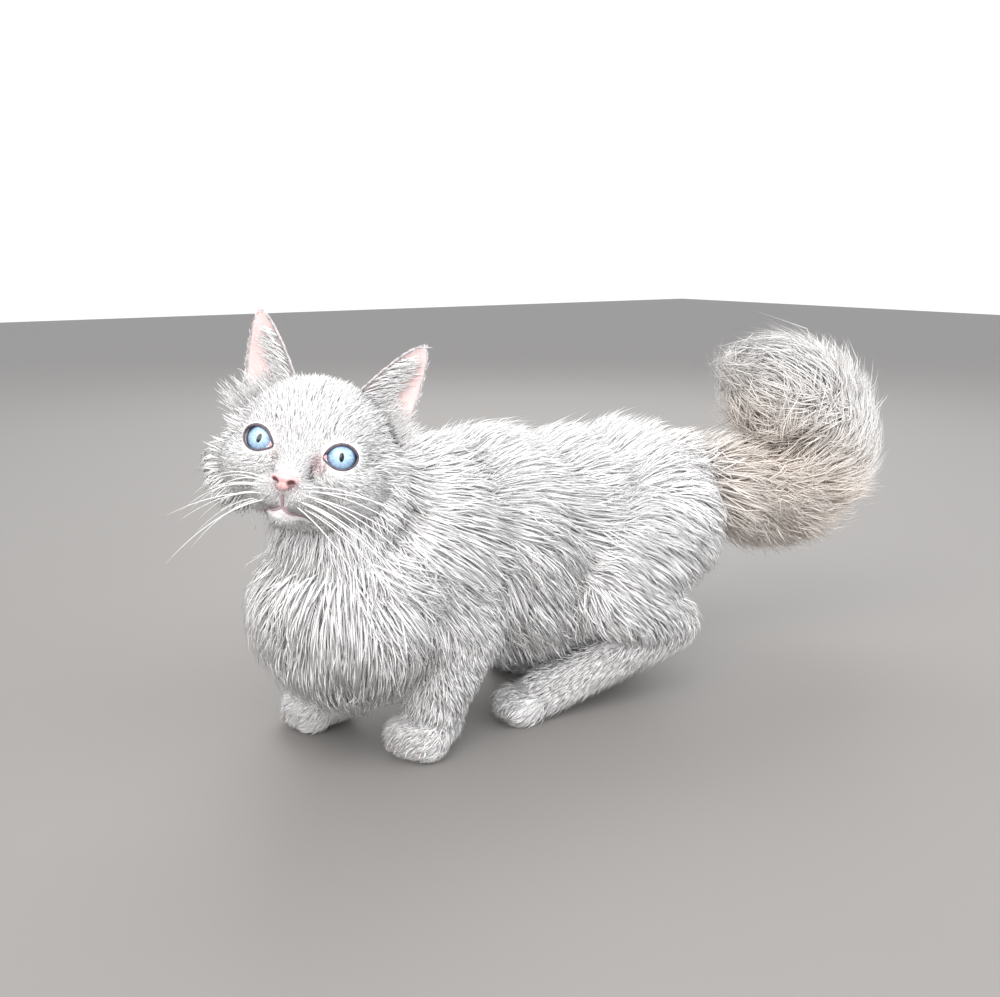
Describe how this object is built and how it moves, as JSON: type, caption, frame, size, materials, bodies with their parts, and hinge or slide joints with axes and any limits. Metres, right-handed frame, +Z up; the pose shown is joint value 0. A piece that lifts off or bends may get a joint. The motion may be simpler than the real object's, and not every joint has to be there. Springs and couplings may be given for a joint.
{
  "type": "munchkin cat",
  "caption": "Life-size long-haired munchkin kitten standing low on short legs, head turned to its left, bushy tail curled up behind.",
  "frame": {"origin": "on the floor, under the centre of the bounding box", "axes": "-Y the way the body faces, +X towards its left side, +Z up"},
  "size_m": [0.126, 0.3674, 0.1816],
  "materials": {
    "white_coat": "matte",
    "cream_coat": "matte",
    "ear_skin": "matte",
    "blue_eye": "gloss",
    "nose_leather": "satin"
  },
  "bodies": {
    "root": {"torso": "white_coat", "neck": "white_coat", "head": "white_coat", "ear_left": "ear_skin", "ear_right": "ear_skin", "eye_left": "blue_eye", "eye_right": "blue_eye", "nose": "nose_leather", "foreleg_left": "white_coat", "foreleg_right": "white_coat", "forepaw_left": "white_coat", "forepaw_right": "white_coat", "thigh_left": "white_coat", "thigh_right": "white_coat", "hindfoot_left": "white_coat", "hindfoot_right": "white_coat", "tail_base": "cream_coat", "tail_middle": "cream_coat", "tail_end": "cream_coat"}
  },
  "joints": []
}
